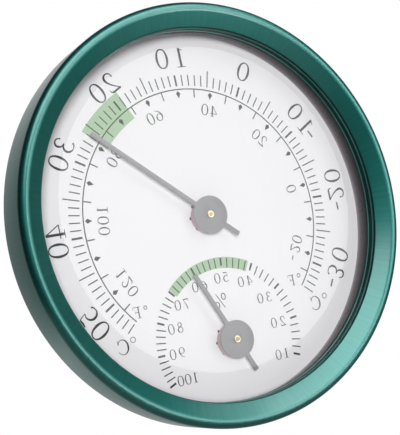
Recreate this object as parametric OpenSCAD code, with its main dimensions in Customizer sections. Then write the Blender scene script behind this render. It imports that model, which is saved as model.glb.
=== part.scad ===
// Round wall instrument: a long temperature hand and a short humidity hand
// over one white dial, in a turned metal ring with a flat glass.
// Front faces -Y, +Z is up, and the origin is the keyhole's entry on the wall.

/* [Reading] */
// Which way the scales rise: -1 anticlockwise, 1 clockwise
dial_hand = -1; // [-1:2:1]
// Temperature shown by the long hand, degrees Celsius
temp_now = 26.33; // [-34:0.01:54]
// Humidity shown by the short hand, percent
hum_now = 62; // [10:1:100]

/* [Bezel ring] */
// Outside diameter of the ring
bezel_d = 100; // [98:1:120]
// Wall between the ring's outside and its bore
bezel_wall = 3; // [2.6:0.1:5]
// Width of the lip that holds the glass, from the bore inwards
lip_w = 3; // [2:0.1:6]
// Thickness of that lip
lip_t = 0.5; // [0.5:0.1:2]
// Width of the flat ledge on the lip
ledge_w = 0.1; // [0.1:0.1:1.5]
// Height of the wall above the ledge
ledge_rise = 1.5; // [0.6:0.1:3]
// Width and height of the fine bead above that wall
bead_w = 0.1; // [0.1:0.05:0.5]
// Height from the bead to the funnel's inner edge
throat_h = 0.9; // [0.4:0.1:2]
// Chamfer on the funnel's inner edge
throat_chamfer = 0.15; // [0.1:0.05:0.5]
// Slope of the funnel face, degrees
face_slope = 31; // [10:0.1:40]
// Width from the funnel's upper edge to the outer rounding
crest_w = 0.56; // [0.4:0.01:1.5]
// Radius where the funnel face turns into the crest
crest_round = 1.5; // [0.4:0.1:2]
// Radius of the outer front edge
front_round = 1.5; // [0.3:0.1:2]
// Radius of the outer rear edge
rear_round = 2.5; // [0.5:0.1:2.6]
// How much the radius of the ring's side shrinks towards the rear
side_taper = 0.35; // [0:0.05:0.4]

/* [Front stack] */
// Radial gap between the ring's bore and what sits in it
insert_gap = 0.2; // [0.1:0.05:0.5]
// Thickness of the glass
glass_t = 1; // [1:0.1:3]
// Thickness of the gasket in front of the glass
gasket_t = 0.6; // [0.2:0.1:1]
// Height of the spacer between dial and glass
spacer_h = 3.8; // [3.8:0.1:8]
// Wall of the spacer
spacer_wall = 1.9; // [1:0.1:2.1]
// Thickness of the dial plate
dial_t = 0.6; // [0.4:0.1:1.5]

/* [Back cover] */
// Depth of the back cover
cover_depth = 7; // [7:0.1:12]
// Wall and floor of the back cover
cover_wall = 2; // [1.6:0.1:2.2]
// How far the cover stands out behind the ring
cover_out = 5.4; // [4:0.1:5.6]
// Radius of the cover's outer edge
cover_round = 2; // [0.5:0.1:3]
// Fillet inside the cover
cover_fillet = 0.8; // [0.3:0.1:2]
// Thickness of the foam seal on the cover's rim
seal_t = 0.4; // [0.2:0.1:1]
// Height of a snap bead
snap_h = 0.5; // [0.3:0.05:0.6]
// How far a snap bead stands out
snap_out = 0.45; // [0.3:0.05:0.5]
// Number of snap beads round the cover
snap_count = 8; // [4:1:12]
// Length of each snap bead
snap_len = 16; // [6:1:20]

/* [Keyhole] */
// Height of the keyhole's entry above the dial's centre
keyhole_rise = 26; // [22:0.5:30]
// Radius of the keyhole's entry
entry_r = 4; // [3:0.1:5]
// Width of the keyhole's slot
slot_w = 4; // [2.5:0.1:5]
// Length of the slot above the entry's centre
slot_len = 6; // [5:0.1:8]
// Space left round a nail head behind the keyhole
pocket_gap = 1; // [0.5:0.1:2]
// Depth of that space
pocket_depth = 2.6; // [2:0.1:2.8]
// Wall round that space
pocket_wall = 1.2; // [0.8:0.1:2]
// Roof over that space
pocket_roof = 1; // [0.6:0.1:1.2]

/* [Cover openings] */
// Radius of each hole for the setting screwdriver
setting_hole_r = 3.2; // [3:0.1:4]
// Width of an air slot
vent_w = 1.6; // [1:0.1:2.2]
// Length of an air slot
vent_len = 12; // [4:0.5:14]
// Distance between air slots
vent_pitch = 3.2; // [2.8:0.1:3.5]
// Air slots on each side of the lower setting hole
vent_count = 4; // [1:1:4]
// Distance of the first air slot from the middle
vent_start = 8.5; // [6:0.1:9]

/* [Screws] */
// Distance of each screw from the middle, sideways and up or down
screw_offset = 25.5; // [24.5:0.1:27]
// Radius of a screw's shank
shank_r = 0.85; // [0.6:0.05:1]
// Length of the shank under the head
shank_len = 4.2; // [3:0.1:5]
// Radius of a screw's head
head_r = 2; // [1.6:0.1:2.4]
// Height of a screw's head
head_h = 1; // [0.7:0.1:1.1]
// Rounding on the head
head_round = 0.45; // [0.2:0.05:0.6]
// Width of the cross recess's arms
recess_w = 0.5; // [0.3:0.05:0.7]
// Length of the cross recess's arms
recess_len = 2.2; // [1.4:0.1:2.8]
// Depth of the cross recess
recess_depth = 0.55; // [0.3:0.05:0.6]
// Depth of the counterbore for the head
counterbore_depth = 1.2; // [1.1:0.1:1.4]
// Gap round the head and the shank
screw_gap = 0.2; // [0.1:0.05:0.4]
// Radius of the posts that take the screws
post_r = 2.6; // [2.2:0.1:3.2]
// Height of the collars round the posts
collar_h = 1.6; // [0.8:0.1:3]
// Wall of the collars
collar_wall = 1; // [0.6:0.1:1.5]

/* [Movement plate] */
// Thickness of the plate behind the dial
plate_t = 1.2; // [0.8:0.1:1.2]
// Gap between the plate's edge and the cover
plate_gap = 0.2; // [0.1:0.05:0.5]
// Distance of the humidity centre below the dial's centre
hum_drop = 30.08; // [29.5:0.01:30.5]
// Radius of an air window in the plate
window_hole_r = 2.2; // [1:0.1:2.6]
// Distance of the air windows from each movement's axis
window_ring_r = 7.4; // [6:0.1:8]
// Air windows round each movement
window_count = 6; // [3:1:6]
// Radius of an air hole in the dial, hidden by the hub
air_hole_r = 0.4; // [0.2:0.05:0.45]
// Distance of the air holes from each axis
air_ring_r = 3.7; // [3.6:0.05:3.8]
// Air holes under each hub
air_count = 8; // [4:1:12]

/* [Movement] */
// Radius of the setting stem
stem_r = 1.5; // [1.3:0.05:1.6]
// Running gap between turning and fixed faces
run_gap = 0.05; // [0.02:0.01:0.1]
// Wall of the bush round the stem
bush_wall = 0.55; // [0.4:0.05:0.7]
// Radius of the bush's front flange
flange_r = 3; // [2.6:0.05:3.1]
// Thickness of that flange
flange_t = 0.3; // [0.2:0.05:0.35]
// Radius of the riveted rear end of the bush
rivet_r = 2.8; // [2.4:0.05:3]
// Thickness of the riveted end
rivet_t = 0.6; // [0.3:0.1:0.7]
// Height of the dished friction washer
washer_h = 0.55; // [0.4:0.05:0.7]
// Sheet thickness of that washer
washer_t = 0.2; // [0.1:0.05:0.3]
// Outer radius of the washer and the clip
washer_r = 2.6; // [2.2:0.1:2.8]
// Thickness of the retaining clip
clip_t = 0.5; // [0.3:0.05:0.6]
// Depth of the groove that the clip sits in
clip_groove = 0.25; // [0.15:0.05:0.35]
// Length of the stem behind the clip
stem_tail = 1.1; // [0.8:0.05:1.2]
// Width of the screwdriver slot
driver_w = 0.6; // [0.4:0.05:0.8]
// Depth of the screwdriver slot
driver_depth = 0.7; // [0.4:0.05:0.8]
// Radius of the stub that holds the spiral's inner end
stub_r = 1.75; // [1.65:0.05:1.8]
// Radius of the pin on which the hand turns
pin_r = 0.35; // [0.25:0.05:0.4]
// Length of that pin
pin_len = 4; // [3:0.1:4.5]

/* [Spiral] */
// Outer radius of the spiral
coil_r = 4.28; // [4.2:0.01:4.3]
// Height of the spiral's strip
coil_h = 2.2; // [1.8:0.05:2.2]
// Thickness of the strip
strip_t = 0.2; // [0.12:0.01:0.22]
// Distance from one turn to the next
coil_pitch = 0.68; // [0.64:0.01:0.7]
// Number of turns
coil_turns = 3.1; // [2:0.05:3.2]
// Gap between the stub's shoulder and the strip
coil_lift = 0.1; // [0.05:0.05:0.2]

/* [Hands] */
// Radius of a hand's round hub
hub_r = 4.5; // [4.5:0.05:5]
// Thickness of a hand
hand_t = 0.4; // [0.3:0.05:0.45]
// Width of a hand
hand_w = 1.45; // [1:0.05:2]
// Gap between the spiral and the hand
hand_lift = 0.2; // [0.1:0.05:0.25]
// Long hand, from the axis to its tip
temp_tip = 34.7; // [20:0.1:35]
// Long hand, from the axis to the end of its tail
temp_tail = 8.7; // [6:0.1:10]
// Short hand, from the axis to its tip
hum_tip = 18.4; // [12:0.1:18.6]
// Short hand, from the axis to the end of its tail
hum_tail = 8.8; // [6:0.1:10]
// Width of the tab that joins hub and spiral
tab_w = 1.4; // [0.8:0.1:2]
// How far the tab hangs below the hub
tab_drop = 1.6; // [1:0.1:1.8]
// Angle from the hand to the tab, degrees
tab_angle = 220; // [0:1:359]
// Radius of the eyelet's rims
eyelet_r = 0.95; // [0.85:0.05:1.05]
// Wall of the eyelet's tube
eyelet_wall = 0.22; // [0.15:0.01:0.3]
// Height of the eyelet's front rim
eyelet_rim = 0.25; // [0.15:0.05:0.3]
// Radius of the shallow seat round the eyelet
seat_r = 1.25; // [1.1:0.05:1.5]
// Depth of that seat
seat_depth = 0.1; // [0.05:0.01:0.15]

/* [Hidden] */
$fn = 96;

// Steps in each rounded corner of a turned profile
arc_steps = 8;
// Length by which a cut runs past a face
cut_over = 1;
// Play of a pressed part in its hole
press_play = 0.01;
// Play between a bush and its plates
bush_play = 0.05;

// Temperature scale: degrees of turn for one degree Celsius, and the value at the top
deg_per_c = 3;
temp_at_top = 10;
// Humidity scale: middle value, half its span, half its sweep and its bow
hum_mid = 55;
hum_half = 45;
hum_sweep = 112;
hum_bow = 7.1;

// Angle of a humidity value from the top, positive the way the scale rises
function hum_angle(h) =
    let (u = (h - hum_mid) / hum_half)
    hum_sweep * u + hum_bow * (1 - u * u);

// Angle of each hand at rest, anticlockwise from the top
temp_rest = -dial_hand * deg_per_c * (temp_now - temp_at_top);
hum_rest = -dial_hand * hum_angle(hum_now);

// Radii, from the outside in
bezel_r = bezel_d / 2;
bore_r = bezel_r - bezel_wall;
insert_r = bore_r - insert_gap;
lip_r = bore_r - lip_w;
ledge_r = lip_r + ledge_w;
throat_r = ledge_r + bead_w;
face_in_r = throat_r + throat_chamfer;
face_out_r = bezel_r - front_round - crest_w;
rear_r = bezel_r - side_taper;
rear_arc = min(rear_round, rear_r - bore_r);
spacer_r = insert_r - spacer_wall;
cover_in_r = insert_r - cover_wall;
plate_r = cover_in_r - plate_gap;
seal_play = 0.1;

// Depths, counted from the wall towards the front
seal_z = cover_depth;
dial_back_z = seal_z + seal_t;
dial_z = dial_back_z + dial_t;
glass_z = dial_z + spacer_h;
gasket_z = glass_z + glass_t;
lip_z = gasket_z + gasket_t;
ledge_z = lip_z + lip_t;
bead_z = ledge_z + ledge_rise;
bead_h = 0.1;
throat_z = bead_z + throat_h - bead_h;
face_z = throat_z + throat_chamfer;
crest_z = face_z + (face_out_r - face_in_r) * tan(face_slope);
plate_z = dial_back_z - plate_t;

// Snap beads and the groove that they click into
snap_z = cover_out + 0.6;
snap_play_z = 0.1;
snap_play_r = 0.15;
snap_root = 0.3;

// Depths of a movement
rivet_z = plate_z - rivet_t;
washer_z = rivet_z - run_gap - washer_h;
clip_z = washer_z - clip_t;
stem_z = clip_z - stem_tail;
shoulder_z = dial_z + flange_t + run_gap;
coil_z = shoulder_z + coil_lift;
coil_top = coil_z + coil_h;
stub_recess = 0.15;
stub_top = coil_top - stub_recess;
hand_z = coil_top + hand_lift;
hand_front = hand_z + hand_t;
eyelet_z = stub_top + run_gap;
eyelet_foot = 0.1;
pin_out = 0.1;
pin_top = hand_front + pin_out;

// Radii of a movement
bush_bore = stem_r + run_gap;
bush_r = bush_bore + bush_wall;
pin_gap = 0.07;
eyelet_bore = pin_r + pin_gap;
tube_r = eyelet_bore + eyelet_wall;
clip_r = stem_r - clip_groove;
clip_mouth = 0.85;
washer_play = 0.1;

// Spiral: centre line of the strip, its inner lead and its slit in the stub
coil_sides = 48;
coil_end_r = coil_r - strip_t / 2;
coil_span = 360 * coil_turns;
coil_count = round(coil_turns * coil_sides);
coil_start_r = coil_end_r - coil_pitch * coil_turns;
lead_r = 1.25;
slit_play = 0.05;
// Turn by which the strip runs on past the middle of its tab
coil_past_tab = 8;
tab_gap = 0.02;
tab_in_r = coil_r + tab_gap;

// Screw places, as signs for sideways and up
screw_signs = [[-1, -1], [1, -1], [1, 1], [-1, 1]];
collar_play = 0.2;
pilot_tip = 0.3;

// Points on an arc round [cx, cy]
function arc(cx, cy, r, from, to) = [
    for (i = [0 : arc_steps])
        let (a = from + (to - from) * i / arc_steps)
        [cx + r * cos(a), cy + r * sin(a)]
];

// Radius of the strip's centre line after a turn of t degrees
function coil_at(t) = coil_start_r + coil_pitch * t / 360;

// One edge of the strip, from the inside out: side is 1 outside, -1 inside
function coil_edge(side) = [
    for (i = [0 : coil_count])
        let (t = i * coil_span / coil_count)
        let (r = coil_at(t) + side * strip_t / 2)
        [r * cos(t), r * sin(t)]
];

// Least distance from a turn's outer edge to the next turn's inner edge
coil_outside = coil_edge(1);
coil_inside = coil_edge(-1);
coil_gap = min([
    for (i = [0 : coil_count])
        for (j = [i + floor(0.9 * coil_sides) : i + ceil(1.1 * coil_sides)])
            if (j <= coil_count)
                norm(coil_outside[i] - coil_inside[j])
]);
echo(coil_gap = coil_gap);

// Places the whole instrument: depth runs to -Y, up runs to +Z
module in_place()
    translate([0, 0, -keyhole_rise]) rotate([90, 0, 0]) children();

// Puts a movement on the humidity axis
module at_humidity()
    translate([0, -hum_drop, 0]) children();

// Flat disc or ring between two depths
module ring(z, h, outer, inner)
    translate([0, 0, z])
        linear_extrude(h)
            difference() {
                circle(outer);
                circle(inner);
            }

// Long shape with round ends, from the origin up
module stadium(r, length) {
    circle(r);
    translate([0, length]) circle(r);
    translate([-r, 0]) square([2 * r, length]);
}

// Turned ring: funnel face, crest, side, rear rounding, bore and lip
module bezel_profile()
    polygon(concat(
        [[lip_r, lip_z], [lip_r, ledge_z], [ledge_r, ledge_z], [ledge_r, bead_z]],
        [[throat_r, bead_z + bead_h], [throat_r, throat_z], [face_in_r, face_z]],
        arc(
            face_out_r + crest_round * tan(face_slope / 2), crest_z - crest_round,
            crest_round, 90 + face_slope, 90
        ),
        arc(bezel_r - front_round, crest_z - front_round, front_round, 90, 0),
        arc(rear_r - rear_arc, cover_out + rear_arc, rear_arc, 0, -90),
        [[bore_r, cover_out], [bore_r, lip_z]]
    ));

module bezel_ring()
    color([0.09, 0.36, 0.32])
        in_place()
            difference() {
                rotate_extrude() bezel_profile();
                ring(
                    snap_z - snap_play_z, snap_h + 2 * snap_play_z,
                    insert_r + snap_out + snap_play_r, insert_r - cut_over
                );
            }

module front_glass()
    color([0.85, 0.93, 0.93, 0.35])
        in_place()
            translate([0, 0, glass_z]) cylinder(h = glass_t, r = insert_r);

module glass_gasket()
    color([0.06, 0.06, 0.06])
        in_place()
            ring(gasket_z, gasket_t, insert_r, lip_r);

module spacer_ring()
    color([0.3, 0.3, 0.31])
        in_place()
            ring(dial_z, spacer_h, insert_r, spacer_r);

// Air holes round one axis, cut through the dial under the hub
module air_holes()
    for (i = [0 : air_count - 1])
        rotate(i * 360 / air_count)
            translate([air_ring_r, 0]) circle(air_hole_r);

module dial_plate()
    color([0.96, 0.96, 0.97])
        in_place()
            translate([0, 0, dial_back_z])
                linear_extrude(dial_t)
                    difference() {
                        circle(insert_r);
                        circle(bush_r + bush_play);
                        at_humidity() circle(bush_r + bush_play);
                        air_holes();
                        at_humidity() air_holes();
                    }

// Air windows round one axis, between the screw posts and the bush
module air_windows()
    for (i = [0 : window_count - 1])
        rotate((i + 0.5) * 360 / window_count)
            translate([window_ring_r, 0]) circle(window_hole_r);

// Repeats a part at the four screws
module at_screws()
    for (s = screw_signs)
        translate([s[0] * screw_offset, s[1] * screw_offset, 0]) children();

module movement_plate()
    color([0.2, 0.2, 0.21])
        in_place()
            difference() {
                union() {
                    translate([0, 0, plate_z])
                        linear_extrude(plate_t)
                            difference() {
                                circle(plate_r);
                                circle(bush_r + bush_play);
                                at_humidity() circle(bush_r + bush_play);
                                air_windows();
                                at_humidity() air_windows();
                            }
                    at_screws()
                        translate([0, 0, cover_wall])
                            cylinder(h = plate_z - cover_wall, r = post_r);
                }
                at_screws()
                    translate([0, 0, cover_wall - cut_over])
                        cylinder(
                            h = counterbore_depth + shank_len + pilot_tip - cover_wall + cut_over,
                            r = shank_r + press_play
                        );
            }

module back_seal()
    color([0.13, 0.13, 0.13])
        in_place()
            ring(seal_z, seal_t, insert_r - seal_play, cover_in_r + seal_play);

// Cup of the back cover, as a half section
module cover_profile()
    polygon(concat(
        [[0, 0]],
        arc(insert_r - cover_round, cover_round, cover_round, -90, 0),
        [[insert_r, cover_depth], [cover_in_r, cover_depth]],
        arc(cover_in_r - cover_fillet, cover_wall + cover_fillet, cover_fillet, 0, -90),
        [[0, cover_wall]]
    ));

// Beads that click into the ring's groove
module snap_beads()
    intersection() {
        rotate_extrude()
            polygon([
                [insert_r - snap_root, snap_z],
                [insert_r, snap_z],
                [insert_r + snap_out, snap_z + snap_h / 2],
                [insert_r, snap_z + snap_h],
                [insert_r - snap_root, snap_z + snap_h]
            ]);
        for (i = [0 : snap_count - 1])
            rotate(i * 360 / snap_count)
                translate([insert_r / 2, -snap_len / 2, 0])
                    cube([insert_r, snap_len, cover_depth]);
    }

// Air slots on both sides of the lower setting hole
module vents()
    for (side = [-1, 1])
        for (i = [0 : vent_count - 1])
            translate([side * (vent_start + i * vent_pitch), -hum_drop - vent_len / 2 + vent_w / 2])
                stadium(vent_w / 2, vent_len - vent_w);

module back_cover()
    color([0.17, 0.17, 0.18])
        in_place()
            difference() {
                union() {
                    rotate_extrude() cover_profile();
                    snap_beads();
                    translate([0, keyhole_rise, cover_wall / 2])
                        linear_extrude(cover_wall / 2 + pocket_depth + pocket_roof)
                            stadium(entry_r + pocket_gap + pocket_wall, slot_len);
                    at_screws()
                        translate([0, 0, cover_wall / 2])
                            cylinder(h = cover_wall / 2 + collar_h, r = post_r + collar_play + collar_wall);
                }
                translate([0, keyhole_rise, cover_wall])
                    linear_extrude(pocket_depth)
                        stadium(entry_r + pocket_gap, slot_len);
                translate([0, keyhole_rise, -cut_over])
                    cylinder(h = cover_wall + 2 * cut_over, r = entry_r);
                translate([0, keyhole_rise, -cut_over])
                    linear_extrude(cover_wall + 2 * cut_over)
                        stadium(slot_w / 2, slot_len);
                translate([0, 0, -cut_over])
                    linear_extrude(cover_wall + 2 * cut_over) {
                        circle(setting_hole_r);
                        at_humidity() circle(setting_hole_r);
                        vents();
                    }
                at_screws() {
                    translate([0, 0, -cut_over])
                        cylinder(h = cut_over + counterbore_depth, r = head_r + screw_gap);
                    translate([0, 0, -cut_over])
                        cylinder(h = cover_wall + 2 * cut_over, r = shank_r + screw_gap);
                    translate([0, 0, cover_wall])
                        cylinder(h = collar_h + cut_over, r = post_r + collar_play);
                }
            }

// Pan-head screw, its head towards the wall
module screw() {
    head_back = counterbore_depth - head_h;
    difference() {
        rotate_extrude()
            polygon(concat(
                [[0, head_back]],
                arc(head_r - head_round, head_back + head_round, head_round, -90, 0),
                [[head_r, counterbore_depth], [shank_r, counterbore_depth]],
                [[shank_r, counterbore_depth + shank_len - shank_r]],
                [[0, counterbore_depth + shank_len]]
            ));
        for (turn = [0, 90])
            rotate(turn)
                translate([-recess_len / 2, -recess_w / 2, head_back - cut_over])
                    cube([recess_len, recess_w, cut_over + recess_depth]);
    }
}

module back_screws()
    color([0.62, 0.63, 0.65])
        in_place()
            at_screws() screw();

// Bush through dial and plate: front flange, barrel and riveted rear end
module bush()
    rotate_extrude()
        polygon([
            [bush_bore, rivet_z],
            [rivet_r, rivet_z],
            [rivet_r, plate_z],
            [bush_r, plate_z],
            [bush_r, dial_z],
            [flange_r, dial_z],
            [flange_r, dial_z + flange_t],
            [bush_bore, dial_z + flange_t]
        ]);

// Stem with its clip groove, screwdriver slot, coil stub, slit and pin hole
module adjuster(coil_start)
    difference() {
        union() {
            translate([0, 0, stem_z]) cylinder(h = shoulder_z - stem_z, r = stem_r);
            translate([0, 0, shoulder_z]) cylinder(h = stub_top - shoulder_z, r = stub_r);
        }
        ring(clip_z, clip_t + run_gap, stem_r + cut_over, clip_r);
        translate([-stem_r - cut_over, -driver_w / 2, stem_z - cut_over])
            cube([2 * (stem_r + cut_over), driver_w, cut_over + driver_depth]);
        translate([0, 0, pin_top - pin_len])
            cylinder(h = pin_len, r = pin_r + press_play);
        rotate(coil_start)
            translate([lead_r - slit_play, -slit_play, coil_z - slit_play])
                cube([stub_r, strip_t + 2 * slit_play, coil_h]);
    }

// Dished washer that presses the stem lightly against the plate
module washer()
    translate([0, 0, washer_z])
        rotate_extrude()
            polygon([
                [stem_r + washer_play, 0],
                [washer_r, washer_h - washer_t],
                [washer_r, washer_h],
                [stem_r + washer_play, washer_t]
            ]);

// Open clip in the stem's groove
module retainer()
    difference() {
        ring(clip_z, clip_t, washer_r, clip_r + press_play);
        translate([0, -clip_r * clip_mouth, clip_z - cut_over])
            cube([washer_r + cut_over, 2 * clip_r * clip_mouth, clip_t + 2 * cut_over]);
    }

module arbor()
    translate([0, 0, pin_top - pin_len]) cylinder(h = pin_len, r = pin_r);

// Flat strip wound into a spiral, with a straight lead into the stub
module coil(coil_start)
    translate([0, 0, coil_z])
        linear_extrude(coil_h)
            rotate(coil_start) {
                polygon(concat(
                    coil_outside,
                    [for (i = [len(coil_inside) - 1 : -1 : 0]) coil_inside[i]]
                ));
                translate([lead_r, 0])
                    square([coil_start_r + strip_t / 2 - lead_r, strip_t]);
            }

// Hand: round hub, tip, tail and the tab that hangs beside the spiral
module hand(tip, tail)
    difference() {
        union() {
            translate([0, 0, hand_z])
                linear_extrude(hand_t) {
                    circle(hub_r);
                    translate([-hand_w / 2, -tail]) square([hand_w, tail + tip]);
                }
            translate([0, 0, hand_z - tab_drop])
                linear_extrude(tab_drop + hand_t / 2)
                    rotate(90 + tab_angle)
                        intersection() {
                            circle(hub_r);
                            translate([tab_in_r, -tab_w / 2]) square([hub_r, tab_w]);
                        }
        }
        translate([0, 0, hand_z - cut_over])
            cylinder(h = hand_t + 2 * cut_over, r = tube_r + press_play);
        translate([0, 0, hand_front - seat_depth])
            cylinder(h = seat_depth + cut_over, r = seat_r);
    }

// Eyelet pressed in the hub, turning on the pin
module eyelet()
    rotate_extrude()
        polygon(concat(
            [[eyelet_bore, eyelet_z], [eyelet_r - eyelet_foot, eyelet_z]],
            [[eyelet_r - eyelet_foot, hand_z], [tube_r, hand_z]],
            [[tube_r, hand_front - seat_depth]],
            arc(
                eyelet_r - eyelet_rim, hand_front - seat_depth,
                eyelet_rim, 0, 90
            ),
            arc(
                eyelet_bore + eyelet_rim / 2, hand_front - seat_depth + eyelet_rim / 2,
                eyelet_rim / 2, 90, 180
            )
        ));

// Angle at which the spiral begins, so that it ends at its tab
function coil_start(rest) = rest + 90 + tab_angle - coil_span + coil_past_tab;

module temp_bush()
    color([0.78, 0.63, 0.3]) in_place() bush();

module temp_adjuster()
    color([0.8, 0.66, 0.35]) in_place() adjuster(coil_start(temp_rest));

module temp_washer()
    color([0.6, 0.6, 0.62]) in_place() washer();

module temp_retainer()
    color([0.5, 0.5, 0.52]) in_place() retainer();

module temp_arbor()
    color([0.72, 0.6, 0.42]) in_place() arbor();

module temp_coil()
    color([0.75, 0.58, 0.54]) in_place() coil(coil_start(temp_rest));

module temp_pointer()
    color([0.64, 0.64, 0.65]) in_place() rotate(temp_rest) hand(temp_tip, temp_tail);

module temp_eyelet()
    color([0.9, 0.76, 0.4]) in_place() eyelet();

module hum_bush()
    color([0.78, 0.63, 0.3]) in_place() at_humidity() bush();

module hum_adjuster()
    color([0.8, 0.66, 0.35]) in_place() at_humidity() adjuster(coil_start(hum_rest));

module hum_washer()
    color([0.6, 0.6, 0.62]) in_place() at_humidity() washer();

module hum_retainer()
    color([0.5, 0.5, 0.52]) in_place() at_humidity() retainer();

module hum_arbor()
    color([0.72, 0.6, 0.42]) in_place() at_humidity() arbor();

module hum_coil()
    color([0.75, 0.58, 0.54]) in_place() at_humidity() coil(coil_start(hum_rest));

module hum_pointer()
    color([0.64, 0.64, 0.65])
        in_place() at_humidity() rotate(hum_rest) hand(hum_tip, hum_tail);

module hum_eyelet()
    color([0.9, 0.76, 0.4]) in_place() at_humidity() eyelet();

bezel_ring();
front_glass();
glass_gasket();
spacer_ring();
dial_plate();
movement_plate();
back_seal();
back_cover();
back_screws();
temp_bush();
temp_adjuster();
temp_washer();
temp_retainer();
temp_arbor();
temp_coil();
temp_pointer();
temp_eyelet();
hum_bush();
hum_adjuster();
hum_washer();
hum_retainer();
hum_arbor();
hum_coil();
hum_pointer();
hum_eyelet();
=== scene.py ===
"""Looks of a round wall thermometer: a turned green ring, a flat glass, a printed dial and two hands.

Dial coordinates are millimetres to the right, up and out from the wall, with the middle of the
dial at the origin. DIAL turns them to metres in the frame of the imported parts.
"""
import math
import bmesh
import bpy
from mathutils import Matrix, Vector


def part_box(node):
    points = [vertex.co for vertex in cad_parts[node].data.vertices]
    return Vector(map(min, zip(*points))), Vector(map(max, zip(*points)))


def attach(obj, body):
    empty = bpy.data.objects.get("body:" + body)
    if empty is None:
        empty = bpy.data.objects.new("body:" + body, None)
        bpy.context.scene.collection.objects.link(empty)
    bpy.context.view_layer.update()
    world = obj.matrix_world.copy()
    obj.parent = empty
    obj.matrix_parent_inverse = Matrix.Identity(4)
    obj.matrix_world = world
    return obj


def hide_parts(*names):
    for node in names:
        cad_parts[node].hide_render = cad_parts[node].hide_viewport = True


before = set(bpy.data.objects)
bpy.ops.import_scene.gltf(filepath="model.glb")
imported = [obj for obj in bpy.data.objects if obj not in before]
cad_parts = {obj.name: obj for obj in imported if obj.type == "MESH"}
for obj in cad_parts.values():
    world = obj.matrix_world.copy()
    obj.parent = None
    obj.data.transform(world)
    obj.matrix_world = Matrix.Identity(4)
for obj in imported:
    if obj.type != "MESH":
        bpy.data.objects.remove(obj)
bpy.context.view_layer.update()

MM = 0.001
# Height of the keyhole, the frame's origin, above the middle of the dial
KEYHOLE_RISE = 26.0
DIAL = Matrix((
    (MM, 0, 0, 0),
    (0, 0, -MM, 0),
    (0, MM, 0, -KEYHOLE_RISE * MM),
    (0, 0, 0, 1),
))

# Which way the scales rise: -1 anticlockwise, 1 clockwise. The print is drawn clockwise.
DIAL_HAND = -1
# Depth of the dial's face from the wall
DIAL_FACE = 8.0
# Thickness of the print and of the green zones under it, and the step from stroke to stroke
PRINT_THICK, ZONE_THICK, STROKE_STEP = 0.02, 0.01, 0.001
# Height of the humidity centre
HUM_UP = -30.08
# Radius between the ring's throat and its funnel face
THROAT = 44.28
# Middle depth and half height of the throat's two polished steps
STEPS = ((13.82, 0.16), (15.45, 0.14))
# A hand's blade and tail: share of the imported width, and the width of the softened edges
BLADE_SHARE, HAND_EDGE = 0.7, 0.07
# Radius past which a hand is blade or tail, and the radius past which it takes the darker grey
HUB_EDGE, DARKER_EDGE = 4.53, 4.45
# The corners where a blade meets its hub lie past this radius and within this half width
ROOT_RADIUS, ROOT_HALF = 4.2, 0.8
# Length of the tip, from which a hand's line is taken
TIP = 0.5


# Meshes

def finish_mesh(bm, name, body, looks, to_frame=DIAL, crease=35):
    """Turns a shape into a smooth piece with creases at its edges, riding on a body."""
    bm.transform(to_frame)
    bmesh.ops.recalc_face_normals(bm, faces=bm.faces[:])
    for face in bm.faces:
        face.smooth = True
    for edge in bm.edges:
        edge.smooth = edge.calc_face_angle(0) < math.radians(crease)
    mesh = bpy.data.meshes.new(name)
    bm.to_mesh(mesh)
    bm.free()
    mesh.materials.append(looks)
    piece = bpy.data.objects.new(name, mesh)
    bpy.context.scene.collection.objects.link(piece)
    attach(piece, body)
    return piece


def turned(corners, steps=256):
    """Turns a closed half section about the dial's axis; a corner is radius, depth and rounding."""
    bm = bmesh.new()
    ring = [bm.verts.new((radius, 0, depth)) for radius, depth, _ in corners]
    bm.faces.new(ring)
    sides = list(zip(ring[-1:] + ring[:-1], ring, ring[1:] + ring[:1], corners))
    cuts = []
    for before, vert, after, (_, _, rounding) in sides:
        turn = (vert.co - before.co).angle(after.co - vert.co)
        if rounding:
            cuts.append((vert, rounding * math.tan(turn / 2), 12 if rounding > 0.5 else 4))
    for vert, offset, segments in cuts:
        bmesh.ops.bevel(
            bm, geom=[vert], offset=offset, offset_type="OFFSET", affect="VERTICES",
            segments=segments, profile=0.5, material=-1,
        )
    bmesh.ops.delete(bm, geom=bm.faces[:], context="FACES_ONLY")
    bmesh.ops.spin(
        bm, geom=bm.verts[:] + bm.edges[:], cent=(0, 0, 0), axis=(0, 0, 1),
        angle=math.tau, steps=steps, use_merge=True,
    )
    return bm


def softened(node, width):
    """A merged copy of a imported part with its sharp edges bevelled."""
    bm = bmesh.new()
    bm.from_mesh(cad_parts[node].data)
    bmesh.ops.remove_doubles(bm, verts=bm.verts[:], dist=0.001 * MM)
    bmesh.ops.dissolve_limit(
        bm, angle_limit=math.radians(0.5), use_dissolve_boundaries=False,
        verts=bm.verts[:], edges=bm.edges[:],
    )
    sharp = [edge for edge in bm.edges if edge.calc_face_angle(0) > math.radians(40)]
    bmesh.ops.bevel(
        bm, geom=sharp, offset=width * MM, offset_type="OFFSET", affect="EDGES",
        segments=2, profile=0.5, material=-1, clamp_overlap=True,
    )
    return bm


def slimmed(bm, side, share):
    """Narrows the blade and tail of a hand about its own line; the hub keeps its shape."""
    low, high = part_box(side + "_eyelet")
    pivot = Vector(((low[0] + high[0]) / 2, 0, (low[2] + high[2]) / 2))
    spots = {vert: Vector((vert.co.x, 0, vert.co.z)) - pivot for vert in bm.verts}
    reach = max(spot.length for spot in spots.values())
    tip = (spot for spot in spots.values() if spot.length > reach - TIP * MM)
    line = sum(tip, Vector()).normalized()
    for vert, spot in spots.items():
        across = spot - line * spot.dot(line)
        root = across.length < ROOT_HALF * MM and spot.length > ROOT_RADIUS * MM
        if root or spot.length > HUB_EDGE * MM:
            vert.co -= across * (1 - share)
    return bm


# Print

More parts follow.
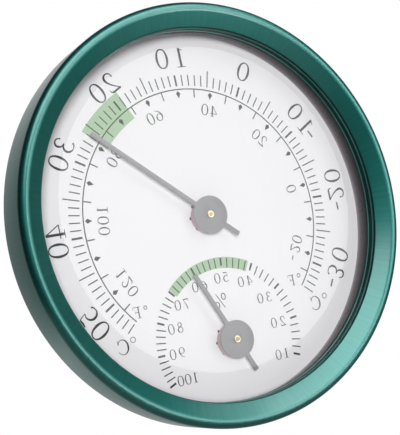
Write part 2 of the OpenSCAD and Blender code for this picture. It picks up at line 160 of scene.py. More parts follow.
# Numerals in a plain roman style, 1 high: a stroke is a line of points (across, up, half the
# pen's width), closed where it ends where it began, and a single point is a dot. SIDE and HAIR are
# the half widths of a full stroke and of a hairline.
SIDE, HAIR = 0.062, 0.026
GLYPHS = {
    "0": [
        [(0.281, 0.5, SIDE), (0, 0.98, HAIR), (-0.281, 0.5, SIDE), (0, 0.02, HAIR),
         (0.281, 0.5, SIDE)],
    ],
    "1": [
        [(0.01, 0.0, SIDE), (0.01, 0.97, SIDE)],
        [(-0.20, 0.845, 0.012), (-0.10, 0.885, 0.022), (0.03, 0.985, 0.015)],
        [(-0.24, 0.014, 0.014), (0.0, 0.022, 0.022), (0.26, 0.014, 0.014)],
    ],
    "2": [
        [(-0.245, 0.72, 0.02), (-0.19, 0.88, 0.03), (0.0, 0.965, 0.035), (0.175, 0.87, 0.055),
         (0.205, 0.70, 0.06), (0.11, 0.48, 0.04), (-0.06, 0.26, 0.026), (-0.26, 0.06, 0.024)],
        [(-0.30, 0.048, 0.048), (0.0, 0.048, 0.048), (0.22, 0.048, 0.048)],
        [(0.20, 0.05, 0.045), (0.27, 0.10, 0.03), (0.325, 0.24, 0.012)],
        [(-0.225, 0.73, 0.045)],
    ],
    "3": [
        [(-0.215, 0.80, 0.022), (-0.13, 0.93, 0.03), (0.02, 0.965, 0.036), (0.16, 0.88, 0.052),
         (0.175, 0.73, 0.052), (0.08, 0.58, 0.03), (-0.08, 0.525, HAIR)],
        [(-0.08, 0.525, HAIR), (0.12, 0.49, 0.04), (0.235, 0.31, 0.058), (0.15, 0.10, 0.042),
         (-0.02, 0.022, 0.02), (-0.20, 0.05, 0.03), (-0.25, 0.115, 0.03)],
        [(-0.215, 0.795, 0.04)],
        [(-0.245, 0.10, 0.045)],
    ],
    "4": [
        [(0.12, 0.98, 0.028), (-0.10, 0.62, 0.024), (-0.31, 0.27, 0.024)],
        [(-0.32, 0.265, 0.024), (0.33, 0.265, 0.024)],
        [(0.13, 0.0, SIDE), (0.13, 0.97, SIDE)],
        [(-0.07, 0.014, 0.014), (0.13, 0.022, 0.02), (0.33, 0.014, 0.014)],
    ],
    "5": [
        [(-0.17, 0.925, 0.035), (0.05, 0.93, 0.05), (0.22, 0.965, 0.03)],
        [(-0.17, 0.93, 0.024), (-0.21, 0.72, 0.02), (-0.24, 0.54, 0.02)],
        [(-0.24, 0.55, 0.016), (-0.05, 0.625, 0.03), (0.16, 0.52, 0.05), (0.235, 0.32, 0.058),
         (0.15, 0.10, 0.044), (-0.04, 0.022, 0.022), (-0.20, 0.06, 0.03)],
        [(-0.225, 0.10, 0.048)],
    ],
    "6": [
        [(0.24, 0.975, 0.014), (0.02, 0.87, 0.03), (-0.18, 0.66, 0.046), (-0.27, 0.36, SIDE),
         (-0.18, 0.10, 0.036), (0.0, 0.02, HAIR), (0.20, 0.10, 0.036), (0.265, 0.31, SIDE),
         (0.18, 0.53, 0.034), (0.02, 0.60, HAIR), (-0.16, 0.53, 0.024), (-0.25, 0.40, 0.02)],
    ],
    "7": [
        [(-0.26, 0.945, 0.045), (0.0, 0.94, 0.05), (0.29, 0.94, 0.045)],
        [(-0.24, 0.95, 0.03), (-0.31, 0.76, 0.012)],
        [(0.28, 0.92, 0.02), (0.12, 0.60, 0.028), (0.0, 0.30, 0.045), (-0.07, 0.0, 0.055)],
    ],
    "8": [
        [(-0.19, 0.78, 0.046), (0.0, 0.98, HAIR), (0.19, 0.79, 0.036), (0.02, 0.55, HAIR),
         (-0.19, 0.78, 0.046)],
        [(0.25, 0.26, SIDE), (0.0, 0.02, HAIR), (-0.25, 0.25, 0.04), (-0.02, 0.53, HAIR),
         (0.25, 0.26, SIDE)],
        [(-0.14, 0.66, 0.03), (0.0, 0.55, 0.05), (0.14, 0.46, 0.03)],
    ],
    "-": [[(-0.20, 0.40, 0.042), (0.20, 0.40, 0.042)]],
    "C": [
        [(0.34, 0.70, 0.02), (0.24, 0.90, 0.024), (0.02, 0.98, HAIR), (-0.24, 0.83, 0.045),
         (-0.34, 0.5, 0.06), (-0.24, 0.17, 0.045), (0.04, 0.02, HAIR), (0.26, 0.10, 0.02),
         (0.38, 0.25, 0.014)],
        [(0.35, 0.66, 0.014), (0.35, 0.97, 0.02)],
    ],
    "F": [
        [(-0.16, 0.0, 0.055), (-0.16, 0.98, 0.055)],
        [(-0.32, 0.98, HAIR), (0.33, 0.98, HAIR)],
        [(0.33, 0.99, 0.016), (0.34, 0.78, 0.014)],
        [(-0.14, 0.52, HAIR), (0.17, 0.52, HAIR)],
        [(0.17, 0.40, 0.016), (0.17, 0.64, 0.016)],
        [(-0.32, 0.018, 0.018), (0.02, 0.018, 0.018)],
    ],
    "%": [
        [(-0.44, 0.76, 0.036), (-0.29, 0.97, 0.03), (-0.14, 0.76, 0.036), (-0.29, 0.55, 0.03),
         (-0.44, 0.76, 0.036)],
        [(0.14, 0.23, 0.036), (0.29, 0.44, 0.03), (0.44, 0.23, 0.036), (0.29, 0.02, 0.03),
         (0.14, 0.23, 0.036)],
        [(-0.26, 0.0, 0.026), (0.28, 1.0, 0.026)],
    ],
}
GLYPHS["9"] = [[(-x, 1 - y, half) for x, y, half in stroke] for stroke in GLYPHS["6"]]


def stroke_shape(stroke):
    """The flat mesh of one pen stroke, drawn by a flat nib that runs along a smooth curve."""
    nib = bpy.data.curves.new("nib", "CURVE")
    nib.dimensions = "2D"
    edge = nib.splines.new("POLY")
    edge.points.add(1)
    edge.points[0].co, edge.points[1].co = (-1, 0, 0, 1), (1, 0, 0, 1)
    nib_object = bpy.data.objects.new("nib", nib)
    path = bpy.data.curves.new("stroke", "CURVE")
    path.dimensions, path.twist_mode = "3D", "Z_UP"
    path.bevel_mode, path.bevel_object = "OBJECT", nib_object
    path.resolution_u = 8
    closed = stroke[0] == stroke[-1]
    points = stroke[:-1] if closed else stroke
    line = path.splines.new("BEZIER")
    line.bezier_points.add(len(points) - 1)
    for point, (across, up, half) in zip(line.bezier_points, points):
        point.co, point.radius = (across, up, 0), half
        point.handle_left_type = point.handle_right_type = "AUTO"
    line.use_cyclic_u = closed
    drawn = bpy.data.objects.new("stroke", path)
    bpy.context.scene.collection.objects.link(drawn)
    bpy.context.view_layer.update()
    settled = drawn.evaluated_get(bpy.context.evaluated_depsgraph_get())
    mesh = bpy.data.meshes.new_from_object(settled)
    bpy.data.objects.remove(drawn)
    bpy.data.objects.remove(nib_object)
    bpy.data.curves.remove(path)
    bpy.data.curves.remove(nib)
    return mesh


STROKES = {
    (sign, i): stroke_shape(stroke)
    for sign, strokes in GLYPHS.items()
    for i, stroke in enumerate(strokes) if len(stroke) > 1
}


def draw(bm, sign, place, height):
    """Adds a numeral or letter, its middle at place."""
    to_place = place @ Matrix.Scale(height, 4) @ Matrix.Translation((0, -0.5, 0))
    for i, stroke in enumerate(GLYPHS[sign]):
        lift = Matrix.Translation((0, 0, i * STROKE_STEP))
        if len(stroke) == 1:
            across, up, radius = stroke[0]
            dot = lift @ to_place @ Matrix.Translation((across, up, 0))
            bmesh.ops.create_circle(bm, cap_ends=True, segments=16, radius=radius, matrix=dot)
            continue
        part = bmesh.new()
        part.from_mesh(STROKES[sign, i])
        bmesh.ops.remove_doubles(part, verts=part.verts[:], dist=1e-5)
        part.transform(lift @ to_place)
        joined = bpy.data.meshes.new("part")
        part.to_mesh(joined)
        part.free()
        bm.from_mesh(joined)
        bpy.data.meshes.remove(joined)


def write(bm, text, place, height, pitch):
    """Adds a number, its middle at place, with the same room for every sign."""
    for i, sign in enumerate(text):
        across = (i - (len(text) - 1) / 2) * pitch
        draw(bm, sign, place @ Matrix.Translation((across, 0, 0)), height)


def at_angle(degrees, radius=0.0, up=0.0):
    """Place on a scale: degrees clockwise from the top, upright towards the rim."""
    return (
        Matrix.Translation((0, up, 0)) @ Matrix.Rotation(-math.radians(degrees), 4, "Z")
        @ Matrix.Translation((0, radius, 0))
    )


def mark(bm, place, inner, outer, width):
    """Adds a straight mark between two radii."""
    middle = place @ Matrix.Translation((0, (inner + outer) / 2, 0))
    shape = middle @ Matrix.Diagonal((width, outer - inner, 1, 1))
    bmesh.ops.create_grid(bm, x_segments=1, y_segments=1, size=0.5, matrix=shape)


def band(bm, place, inner, outer, degrees, steps):
    """Adds part of a flat ring, clockwise from place."""
    ends = [bm.verts.new(place @ Vector((0, radius, 0))) for radius in (inner, outer)]
    edge = bm.edges.new(ends)
    bmesh.ops.spin(
        bm, geom=ends + [edge], cent=place @ Vector((0, 0, 0)), axis=(0, 0, 1),
        angle=-math.radians(degrees), steps=steps, use_merge=False,
    )


def loop(bm, centre, outer, line):
    """Adds a small ring, such as a degree sign."""
    middle = Matrix.Translation((centre[0], centre[1], 0))
    ends = [bm.verts.new(middle @ Vector((0, radius, 0))) for radius in (outer - line, outer)]
    edge = bm.edges.new(ends)
    bmesh.ops.spin(
        bm, geom=ends + [edge], cent=middle.translation, axis=(0, 0, 1),
        angle=math.tau, steps=24, use_merge=True,
    )


def printed(bm, name, thick, looks):
    """Gives flat print its thickness and its hand, and lays it on the dial's face."""
    for face in bm.faces:
        if face.normal.z < 0:
            face.normal_flip()
    bmesh.ops.solidify(bm, geom=bm.faces[:], thickness=thick)
    lowest = min(vert.co.z for vert in bm.verts)
    bmesh.ops.translate(bm, verts=bm.verts[:], vec=(0, 0, DIAL_FACE - lowest))
    bm.transform(Matrix.Diagonal((DIAL_HAND, 1, 1, 1)))
    return finish_mesh(bm, name, "case", looks)


# Temperature scale: degrees of turn for one degree Celsius, and the value at the top
DEG_PER_C, TEMP_AT_TOP = 3, 10
# Humidity scale: middle value, half its span, half its sweep and its bow
HUM_MID, HUM_HALF, HUM_SWEEP, HUM_BOW = 55, 45, 112, 7.1


def temp_angle(celsius):
    """Degrees clockwise from the top for a temperature."""
    return DEG_PER_C * (celsius - TEMP_AT_TOP)


def hum_angle(percent):
    """Degrees clockwise from the top for a humidity; its steps close up a little when dry."""
    share = (percent - HUM_MID) / HUM_HALF
    return HUM_SWEEP * share + HUM_BOW * (1 - share * share)


def celsius_of(fahrenheit):
    return (fahrenheit - 32) / 1.8


# Widths of a fine and a bold mark
FINE, BOLD = 0.28, 0.48
# Celsius marks: inner end, outer end, and outer end at the fives
CELSIUS_IN, CELSIUS_OUT, FIVE_OUT = 32.1, 34.81, 36.25
# Line between the two temperature scales: its radii, and where it ends in degrees from the top
LINE_IN, LINE_OUT, LINE_END = 31.16, 31.44, 132.3
# Fahrenheit marks: ends of a plain one, the kite that stands at the tens, radius of the numbers
FAHRENHEIT_IN, FAHRENHEIT_OUT = 29.2, 31.2
KITE = ((0, 30.9), (0.575, 30.3), (0, 29.1), (-0.575, 30.3))
FAHRENHEIT_UP = 26.4
# Humidity marks: inner end, inner end at the tens, outer end
HUMIDITY_IN, TENS_IN, HUMIDITY_OUT = 17.25, 17.83, 19.71
# Height of the Celsius numbers, height and pitch of the Fahrenheit numbers
CELSIUS_HIGH, FAHRENHEIT_HIGH, FAHRENHEIT_PITCH = 4.9, 2.8, 2.45
# Height of the humidity numbers and of their per cent sign
HUMIDITY_HIGH, PER_CENT_HIGH = 2.4, 3.5
# Thickness of a degree sign's line
DEGREE_LINE = 0.18
# Green zones: lowest and highest value, inner and outer radius, steps
TEMP_ZONE = (18.9, 26.1, 28.7, 36.1, 24)
HUM_ZONE = (41.2, 69.6, 17.25, 19.9, 48)

# Celsius numbers: value, radius, and the place across of each sign
CELSIUS = [
    (-30, 39.4, (-3.0, 0.1, 4.8)), (-20, 39.5, (-3.2, 0.0, 4.6)), (-10, 39.3, (-3.8, -1.5, 3.1)),
    (0, 39.2, (0.0,)), (10, 39.1, (-2.6, 2.44)), (20, 38.6, (-2.5, 2.0)), (30, 38.4, (-2.55, 1.9)),
    (40, 38.4, (-2.25, 1.94)), (50, 38.7, (-1.9, 2.2)),
]

# Humidity numbers: text, place across and up, and pitch
HUMIDITY = [
    ("100", 13.3, -36.56, 1.95), ("90", 14.62, -30.25, 2.4), ("80", 13.73, -24.5, 2.35),
    ("70", 10.83, -19.4, 2.3), ("60", 5.22, -16.1, 2.45), ("50", -1.07, -15.15, 2.3),
    ("40", -7.35, -17.1, 2.45), ("30", -11.73, -22.0, 2.45), ("20", -14.15, -28.5, 2.6),
    ("10", -13.35, -36.25, 2.3), ("%", 0.5, -20.5, 0.0),
]

# Unit signs: letter, place, height, and the place and radius of its degree ring
UNITS = [
    ("F", 22.6, -19.1, 2.65, (20.3, -18.3), 0.48), ("F", -20.5, -19.35, 2.65, (-22.8, -18.5), 0.52),
    ("C", 27.7, -26.0, 3.5, (25.0, -24.85), 0.70), ("C", -26.1, -26.1, 3.5, (-29.06, -24.8), 0.72),
]


def temperature_print():
    """Celsius marks outside the line, Fahrenheit marks inside it, numbers and unit signs."""
    bm = bmesh.new()
    for celsius in range(-34, 55):
        longer = celsius % 10 == 5
        width = BOLD if celsius % 10 == 0 else FINE
        outer = FIVE_OUT if longer else CELSIUS_OUT
        mark(bm, at_angle(temp_angle(celsius)), CELSIUS_IN, outer, width)
    band(bm, at_angle(-LINE_END), LINE_IN, LINE_OUT, 2 * LINE_END, 180)
    for fahrenheit in range(-25, 126, 5):
        place = at_angle(temp_angle(celsius_of(fahrenheit)))
        if fahrenheit % 10:
            mark(bm, place, FAHRENHEIT_IN, FAHRENHEIT_OUT, FINE)
        else:
            bm.faces.new([bm.verts.new(place @ Vector((x, y, 0))) for x, y in KITE])
        if fahrenheit % 20 == 0:
            middle = place @ Matrix.Translation((0, FAHRENHEIT_UP, 0))
            write(bm, str(fahrenheit), middle, FAHRENHEIT_HIGH, FAHRENHEIT_PITCH)
    for value, radius, across in CELSIUS:
        for sign, x in zip(str(value), across):
            middle = at_angle(temp_angle(value)) @ Matrix.Translation((x, radius, 0))
            draw(bm, sign, middle, CELSIUS_HIGH)
    for letter, x, y, height, ring, ring_radius in UNITS:
        draw(bm, letter, Matrix.Translation((x, y, 0)), height)
        loop(bm, ring, ring_radius, DEGREE_LINE)
    return printed(bm, "temperature_print", PRINT_THICK, INK)


def humidity_print():
    """Marks and numbers of the humidity scale."""
    bm = bmesh.new()
    for percent in range(10, 101, 2):
        inner, width = (HUMIDITY_IN, FINE) if percent % 10 else (TENS_IN, BOLD)
        mark(bm, at_angle(hum_angle(percent), up=HUM_UP), inner, HUMIDITY_OUT, width)
    for text, x, y, pitch in HUMIDITY:
        height = PER_CENT_HIGH if text == "%" else HUMIDITY_HIGH
        write(bm, text, Matrix.Translation((x, y, 0)), height, pitch)
    return printed(bm, "humidity_print", PRINT_THICK, INK)


def comfort_print():
    """The two green bands for comfortable temperature and humidity."""
    bm = bmesh.new()
    for angle_of, up, (lowest, highest, inner, outer, steps) in (
        (temp_angle, 0.0, TEMP_ZONE), (hum_angle, HUM_UP, HUM_ZONE),
    ):
        low, high = angle_of(lowest), angle_of(highest)
        band(bm, at_angle(low, up=up), inner, outer, high - low, steps)
    return printed(bm, "comfort_print", ZONE_THICK, ZONE_INK)


# Materials

def linear(code):
    """Linear colour of an sRGB hex value."""
    parts = [int(code[i:i + 2], 16) / 255 for i in (0, 2, 4)]
    return tuple(c / 12.92 if c <= 0.04045 else ((c + 0.055) / 1.055) ** 2.4 for c in parts) + (1.0,)


def add(tree, kind, inputs=None, **settings):
    """Adds a node with its settings; an input takes a value or another node's output."""
    node = tree.nodes.new("ShaderNode" + kind)
    for name, value in settings.items():
        setattr(node, name, value)
    for name, value in (inputs or {}).items():
        if isinstance(value, bpy.types.NodeSocket):
            tree.links.new(value, node.inputs[name])
        else:
            node.inputs[name].default_value = value
    return node


def real(name, base, roughness, **values):
    """A material that starts from a real one's plain values; returns it, its tree and its shader."""
    made = bpy.data.materials.new(name)
    made.use_nodes = True
    shader = made.node_tree.nodes["Principled BSDF"]
    shader.inputs["Base Color"].default_value = linear(base)
    shader.inputs["Roughness"].default_value = roughness
    for socket, value in values.items():
        shader.inputs[socket.replace("_", " ")].default_value = value
    return made, made.node_tree, shader


def grained(name, base, roughness, grain, depth, **values):
    """A material with a fine moulded, cast or painted grain: grain and depth are in millimetres."""
    made, tree, shader = real(name, base, roughness, **values)
    place = add(tree, "TexCoord").outputs["Object"]
    noise = add(tree, "TexNoise", {"Vector": place, "Scale": 1 / (grain * MM), "Detail": 3.0})
    bump = add(tree, "Bump", {
        "Height": noise.outputs["Fac"], "Distance": depth * MM, "Strength": 1.0,
    })
    tree.links.new(bump.outputs["Normal"], shader.inputs["Normal"])
    spread = add(tree, "MapRange", {
        "Value": noise.outputs["Fac"], "From Min": 0.3, "From Max": 0.7,
        "To Min": roughness - 0.05, "To Max": roughness + 0.05,
    })
    tree.links.new(spread.outputs["Result"], shader.inputs["Roughness"])
    return made, tree, shader


def round_the_dial(tree):
    """Object coordinates as radius, depth and angle round the dial's axis, for turned finishes."""
    place = add(tree, "TexCoord").outputs["Object"]
    centred = add(tree, "Mapping", {"Vector": place, "Location": (0, 0, KEYHOLE_RISE * MM)})
    parts = add(tree, "SeparateXYZ", {0: centred.outputs[0]})
    flat = add(tree, "CombineXYZ", {"X": parts.outputs["X"], "Z": parts.outputs["Z"]})
    radius = add(tree, "VectorMath", {0: flat.outputs[0]}, operation="LENGTH")
    angle = add(tree, "Math", {0: parts.outputs["Z"], 1: parts.outputs["X"]}, operation="ARCTAN2")
    return radius.outputs["Value"], parts.outputs["Y"], angle.outputs[0]


def anodised_aluminium():
    """Turned, satin and dyed green under a clear oxide layer: a soft deep green with white glints."""
    made, tree, shader = real(
        "anodised_aluminium_green", "2f948c", 0.48, Metallic=1.0,
        Coat_Roughness=0.22, Coat_IOR=1.75,
    )
    radius, depth, angle = round_the_dial(tree)
    # Tool lines run round the ring; real ones are 0.05 mm apart and are drawn wider so that they show
    line_pitch = 0.2 * MM
    lines = add(tree, "CombineXYZ", {
        "X": add(tree, "Math", {0: radius, 1: 1 / line_pitch}, operation="MULTIPLY").outputs[0],
        "Y": add(tree, "Math", {0: depth, 1: 1 / line_pitch}, operation="MULTIPLY").outputs[0],
        "Z": add(tree, "Math", {0: angle, 1: 3.0}, operation="MULTIPLY").outputs[0],
    })
    noise = add(tree, "TexNoise", {"Vector": lines.outputs[0], "Scale": 1.0, "Detail": 3.0})
    bump = add(tree, "Bump", {
        "Height": noise.outputs["Fac"], "Distance": 0.004 * MM, "Strength": 1.0,
    })
    tree.links.new(bump.outputs["Normal"], shader.inputs["Normal"])
    # Faint rays cross the funnel face, 12 mm long
    rays = add(tree, "CombineXYZ", {
        "X": add(tree, "Math", {0: radius, 1: 1 / (12 * MM)}, operation="MULTIPLY").outputs[0],
        "Y": add(tree, "Math", {0: angle, 1: 60.0}, operation="MULTIPLY").outputs[0],
    })
    streaks = add(tree, "TexNoise", {"Vector": rays.outputs[0], "Scale": 1.0, "Detail": 2.0})
    faced = add(tree, "MixRGB", {
        "Fac": streaks.outputs["Fac"], "Color1": linear("2a8a82"), "Color2": linear("349e96"),
    })
    # The throat, all but its two steps, is painted a dark green and loses its coat, as painted shade
    # in the recess; the steps keep the face's colour and coat
    beyond = add(tree, "Math", {0: radius, 1: THROAT * MM}, operation="GREATER_THAN")
    lip, bead = (
        add(tree, "Math", {0: depth, 1: -middle * MM, 2: half * MM}, operation="COMPARE").outputs[0]
        for middle, half in STEPS
    )
    steps = add(tree, "Math", {0: lip, 1: bead}, operation="MAXIMUM")
    unshaded = add(tree, "Math", {0: beyond.outputs[0], 1: steps.outputs[0]}, operation="MAXIMUM")
    # Painted shade: the dark green 06302b on the throat
    tint = add(tree, "MixRGB", {
        "Fac": unshaded.outputs[0], "Color1": linear("06302b"), "Color2": faced.outputs[0],
    })
    tree.links.new(tint.outputs[0], shader.inputs["Base Color"])
    coat = add(tree, "MapRange", {"Value": unshaded.outputs[0], "To Min": 0.0, "To Max": 1.0})
    tree.links.new(coat.outputs[0], shader.inputs["Coat Weight"])
    return made


def clear_glass():
    """Flat float glass, 1 mm: clear, with one sharp reflection of what is in front of it."""
    made = bpy.data.materials.new("clear_float_glass")
    made.use_nodes = True
    tree = made.node_tree
    tree.nodes.remove(tree.nodes["Principled BSDF"])
    # Only the front face reflects, so that the round panel draws one clean edge
    fresnel = add(tree, "Fresnel", {"IOR": 1.47})
    rear = add(tree, "NewGeometry").outputs["Backfacing"]
    front = add(tree, "Math", {0: 1.0, 1: rear}, operation="SUBTRACT")
    share = add(tree, "Math", {0: fresnel.outputs[0], 1: front.outputs[0]}, operation="MULTIPLY")
    clear = add(tree, "BsdfTransparent", {"Color": linear("fefefe")})
    mirror = add(tree, "BsdfGlossy", {"Color": (1, 1, 1, 1), "Roughness": 0.0})
    both = add(tree, "MixShader", {0: share.outputs[0], 1: clear.outputs[0], 2: mirror.outputs[0]})
    tree.links.new(both.outputs[0], tree.nodes["Material Output"].inputs["Surface"])
    return made


def pale_floor():
    """Matt white board, nearly as white as the backdrop to the camera, with the object's shadow."""
    made, tree, shader = real("white_board", "f4f4f4", 0.8)
    ray = add(tree, "LightPath").outputs
    tint = add(tree, "MixRGB", {
        "Fac": ray["Is Glossy Ray"], "Color1": linear("f4f4f4"), "Color2": linear("8e8e8e"),
    })
    tree.links.new(tint.outputs[0], shader.inputs["Base Color"])
    # Metal sees it dim in front and brighter behind, where it meets the backdrop
    backward = add(tree, "SeparateXYZ", {0: add(tree, "TexCoord").outputs["Object"]}).outputs["Y"]
    behind = add(tree, "MapRange", {
        "Value": backward, "From Min": 0.0, "From Max": 0.25, "To Max": 0.4,
    })
    mirrored = add(
        tree, "Math", {0: behind.outputs[0], 1: ray["Is Glossy Ray"]}, operation="MULTIPLY",
    )
    white = add(tree, "Emission", {"Color": (1, 1, 1, 1), "Strength": 1.0})
    seen_white = add(tree, "Math", {0: ray["Is Camera Ray"], 1: 0.75}, operation="MULTIPLY")
    share = add(tree, "Math", {0: seen_white.outputs[0], 1: mirrored.outputs[0]}, operation="MAXIMUM")
    seen = add(tree, "MixShader", {0: share.outputs[0], 1: shader.outputs[0], 2: white.outputs[0]})
    tree.links.new(seen.outputs[0], tree.nodes["Material Output"].inputs["Surface"])
    return made


def bimetal_strip():
    """Rolled copper alloy on nickel steel: pale and faintly pink, with fine rolling lines."""
    made, tree, shader = real("rolled_bimetal", "bd9ca0", 0.38, Metallic=0.85)
    place = add(tree, "TexCoord").outputs["Object"]
    stretched = add(tree, "Mapping", {"Vector": place, "Scale": (1.0, 8.0, 1.0)})
    noise = add(tree, "TexNoise", {
        "Vector": stretched.outputs[0], "Scale": 1 / (0.6 * MM), "Detail": 2.0,
    })
    tint = add(tree, "MixRGB", {
        "Fac": noise.outputs["Fac"], "Color1": linear("b0949a"), "Color2": linear("c8aeb2"),
    })
    tree.links.new(tint.outputs[0], shader.inputs["Base Color"])
    bump = add(tree, "Bump", {"Height": noise.outputs["Fac"], "Distance": 0.004 * MM})
    tree.links.new(bump.outputs["Normal"], shader.inputs["Normal"])
    return made


def grey_spacer():
    """Smooth dark grey ABS, with a painted reflection of the enamel that makes it paler at its foot,
    and painted shade that darkens it to near black under the gasket.
    """
    made, tree, shader = grained("grey_abs_painted_sheen_and_shade", "565257", 0.3, 0.4, 0.002)
    depth = add(tree, "SeparateXYZ", {0: add(tree, "TexCoord").outputs["Object"]}).outputs["Y"]
    height = add(tree, "MapRange", {
        "Value": depth, "From Min": -DIAL_FACE * MM, "From Max": -11.6 * MM,
    })
    # Painted light in the colour: pale at the foot for the enamel's reflection, near black at the top
    # for the shade under the gasket
    shade = add(tree, "ValToRGB", {"Fac": height.outputs[0]})
    ramp = shade.color_ramp
    ramp.elements[0].color = linear("a8a4a8")
    ramp.elements[1].position = 0.85
    ramp.elements[1].color = linear("0e1418")
    ramp.elements.new(0.3).color = linear("645e64")
    ramp.elements.new(0.6).color = linear("423e44")
    tree.links.new(shade.outputs["Color"], shader.inputs["Base Color"])
    return made


def machined(name, base, roughness):
    """Machined metal with fine tool marks."""
    return grained(name, base, roughness, 0.3, 0.003, Metallic=1.0)[0]


RING_METAL = anodised_aluminium()
GLASS = clear_glass()
SPACER = grey_spacer()
BIMETAL = bimetal_strip()
# Soft black rubber, moulded: matt and dark, it draws the thin shadow line in front of the glass
RUBBER = grained("moulded_black_rubber", "16181a", 0.7, 0.25, 0.01)[0]
# Stove enamel on sheet aluminium: an even white with a soft sheen
ENAMEL = grained("white_stove_enamel", "f5f4f6", 0.42, 0.5, 0.002)[0]
# Screen ink: dark grey and matt, with edges as crisp as the shapes
INK = grained("screen_ink_grey", "3a3a3c", 0.55, 0.15, 0.002)[0]
# Screen ink, pale green, thin enough for the enamel to lighten it
ZONE_INK = grained("screen_ink_green", "aac9a5", 0.5, 0.15, 0.002)[0]
# Baked grey paint on stamped aluminium: a satin mid grey with a faint grain
HAND_PAINT = grained("baked_grey_paint", "959597", 0.42, 0.2, 0.003)[0]
# A darker grey, which the short hand shows on its blade and tail
BLADE_GREY = grained("darker_grey_blade", "767678", 0.42, 0.2, 0.003)[0]
# Dark ABS with a satin grain, seen behind the air slots
PLATE = grained("moulded_dark_abs", "2a2a2c", 0.5, 0.25, 0.01)[0]
# Black ABS with a spark-eroded texture, which makes it look matt
COVER = grained("textured_black_abs", "26262a", 0.55, 0.35, 0.02)[0]
# Closed-cell foam: dull black, with pores of half a millimetre
FOAM = grained("black_seal_foam", "1a1a1c", 0.9, 0.5, 0.05)[0]
# Turned brass: warm yellow, with a soft shine on bushes and setting stems
BRASS = machined("turned_brass", "d0ab5c", 0.3)
# Drawn brass: paler, the small disc in the middle of each eyelet
PIN = machined("drawn_brass", "c8a878", 0.3)
# Zinc plate: cool and pale, with a broad shine on the screw heads
STEEL = machined("zinc_plated_steel", "c3c6ca", 0.32)
# Rolled spring steel: a darker grey than the screws
SPRING = machined("spring_steel", "9a9ca0", 0.3)
# Gilt brass: the bright pale gold ring in the middle of each hub
GOLD = machined("gilt_brass", "fff0d2", 0.30)

NODE_LOOKS = {
    "front_glass": GLASS, "glass_gasket": RUBBER, "spacer_ring": SPACER, "dial_plate": ENAMEL,
    "movement_plate": PLATE, "back_seal": FOAM, "back_cover": COVER, "back_screws": STEEL,
    "bezel_ring": RING_METAL,
}
for side in ("temp", "hum"):
    NODE_LOOKS.update({
        side + "_bush": BRASS, side + "_adjuster": BRASS, side + "_washer": SPRING,
        side + "_retainer": SPRING, side + "_arbor": PIN, side + "_coil": BIMETAL,
        side + "_pointer": HAND_PAINT, side + "_eyelet": GOLD,
    })
for node, looks in NODE_LOOKS.items():
    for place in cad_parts[node].material_slots:
        place.material = looks

# Pieces

# Half section of the ring: lip, throat, funnel face, crest, side, bore and the groove in it
BEZEL = [
    (44.0, 13.4, 0.03), (44.0, 13.9, 0.05), (44.1, 13.9, 0.0), (44.1, 15.4, 0.03),
    (44.2, 15.5, 0.0), (44.2, 16.2, 0.05), (44.35, 16.35, 0.1), (47.94, 18.507, 2.0),
    (50.0, 18.507, 1.5), (49.65, 5.4, 2.5), (47.0, 5.4, 0.1), (47.0, 5.9, 0.0),
    (47.4, 5.9, 0.0), (47.4, 6.7, 0.0), (47.0, 6.7, 0.0), (47.0, 13.4, 0.0),
]
bezel = finish_mesh(turned(BEZEL), "bezel_turned", "case", RING_METAL)
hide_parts("bezel_ring")

hands = {}
for side in ("temp", "hum"):
    shape = slimmed(softened(side + "_pointer", HAND_EDGE), side, BLADE_SHARE)
    hand = finish_mesh(shape, side + "_hand", side + "_hand", HAND_PAINT, Matrix())
    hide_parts(side + "_pointer")
    hands[side] = hand

# The short hand's blade and tail take the darker grey
hands["hum"].data.materials.append(BLADE_GREY)
hum_axis = Vector((0, 0, (HUM_UP - KEYHOLE_RISE) * MM))
for face in hands["hum"].data.polygons:
    if (Vector((face.center.x, 0, face.center.z)) - hum_axis).length > DARKER_EDGE * MM:
        face.material_index = 1

temperature_print()
humidity_print()
comfort_print()

# Stage, lamps and camera

# Floor: radius and level in metres
FLOOR_RADIUS, FLOOR_LEVEL = 0.30, -0.138

disc = bmesh.new()
bmesh.ops.create_circle(
    disc, cap_ends=True, segments=96, radius=FLOOR_RADIUS,
    matrix=Matrix.Translation((0, 0, FLOOR_LEVEL)),
)
floor_mesh = bpy.data.meshes.new("floor")
disc.to_mesh(floor_mesh)
disc.free()
floor_mesh.materials.append(pale_floor())
floor = bpy.data.objects.new("floor", floor_mesh)
bpy.context.scene.collection.objects.link(floor)


# What the lamps point at, in dial coordinates
AIM = (0, 0, DIAL_FACE)


def lamp(name, place, size, radiance, size_y=None, aim=AIM, mirrored=True):
    """An even lamp at place, in dial coordinates; sizes in metres, and it is round without size_y.

    A radiance of 1 makes the lamp itself look white. A mirrored one shows in metal and glass and
    lights nothing matt; any other lights matt pieces and leaves no glint.
    """
    light = bpy.data.lights.new(name, "AREA")
    light.size = size
    if size_y:
        light.shape = "RECTANGLE"
        light.size_y = size_y
        area = size * size_y
    else:
        light.shape = "DISK"
        area = math.pi * size * size / 4
    light.energy = math.pi * area * radiance
    panel = bpy.data.objects.new(name, light)
    start, end = (DIAL @ Vector(point) for point in (place, aim))
    facing = (start - end).to_track_quat("Z", "Y").to_matrix().to_4x4()
    panel.matrix_world = Matrix.Translation(start) @ facing
    panel.visible_glossy = mirrored
    panel.visible_diffuse = not mirrored
    bpy.context.scene.collection.objects.link(panel)


# Large soft panel above and in front; it draws the pale arc on the lower right of the funnel face
lamp("softbox", (108, 562, 806), 1.0, 2.8, size_y=0.57)
# Main lamp beside the camera, which lights the dial up to its rim and the spirals under the hubs
lamp("front_lamp", (-569, 85, 1277), 0.40, 35.2, mirrored=False)
# Round panel that the glass mirrors as a pale disc over the left of the dial
lamp("round_panel", (349.7, 50.5, 608), 0.2786, 2.7, aim=(349.7, 50.5, 0))
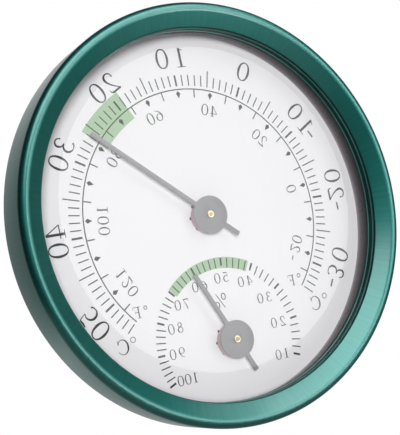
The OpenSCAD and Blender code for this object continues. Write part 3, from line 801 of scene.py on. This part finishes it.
# Second panel to its right, which widens the pale line on the crest
lamp("right_panel", (743, 70, 666), 0.26, 0.8, size_y=0.35)
# Weaker lamp to the upper right, which throws the hands' shadows to the lower left
lamp("side_lamp", (286, 375, 882), 0.50, 1.0, mirrored=False)
# Small panel to the upper right, which carries the pale arc on towards the right of the face
lamp("side_panel", (565, 623, 450), 0.34, 0.9, size_y=0.34)
# Panel low on the right, which lifts the upper right of the funnel face
lamp("low_panel", (427, -342, 837), 0.34, 4.5, size_y=0.30)


def studio():
    """White for the camera and behind the object, dim in front: the metal shows both."""
    world = bpy.data.worlds.new("studio")
    bpy.context.scene.world = world
    world.use_nodes = True
    tree = world.node_tree
    ray = add(tree, "LightPath").outputs
    ways = add(tree, "SeparateXYZ", {0: add(tree, "TexCoord").outputs["Generated"]}).outputs
    backward = ways["Y"]
    mirrored = add(tree, "MapRange", {
        "Value": backward, "From Min": 0.5, "From Max": 0.98, "To Min": 0.02, "To Max": 0.6,
    }, interpolation_type="SMOOTHSTEP")
    shed = add(tree, "MapRange", {
        "Value": backward, "From Min": -0.2, "From Max": 0.5, "To Min": 0.14, "To Max": 0.9,
    }, interpolation_type="SMOOTHSTEP")
    across = add(tree, "MapRange", {
        "Value": ways["X"], "From Min": -0.35, "From Max": 0.25, "To Min": 0.3, "To Max": 1.15,
    })
    uneven = add(tree, "Math", {0: mirrored.outputs[0], 1: across.outputs[0]}, operation="MULTIPLY")
    level = add(tree, "Mix", {0: ray["Is Glossy Ray"], 2: shed.outputs[0], 3: uneven.outputs[0]})
    seen = add(tree, "Math", {0: level.outputs[0], 1: ray["Is Camera Ray"]}, operation="MAXIMUM")
    back = tree.nodes["Background"]
    back.inputs["Color"].default_value = (1, 1, 1, 1)
    tree.links.new(seen.outputs[0], back.inputs["Strength"])


studio()

camera = bpy.data.objects.new("camera", bpy.data.cameras.new("camera"))
camera.data.lens = 93.77
camera.data.clip_start = 0.01
# Camera's right, up and backward directions and its place, in dial coordinates
VIEW = (
    (0.856413, -0.208387, 0.472368), (0.150711, 0.975981, 0.157315),
    (-0.493805, -0.063536, 0.867249), (-134.716, -17.264, 242.431),
)
turn = Matrix([[row[0], row[1], row[2]] for row in VIEW[:3]]).transposed().to_4x4()
upright = Matrix(((1, 0, 0, 0), (0, 0, -1, 0), (0, 1, 0, 0), (0, 0, 0, 1)))
camera.matrix_world = Matrix.Translation(DIAL @ Vector(VIEW[3])) @ upright @ turn
bpy.context.scene.collection.objects.link(camera)
bpy.context.scene.camera = camera
bpy.context.scene.view_settings.view_transform = "Standard"
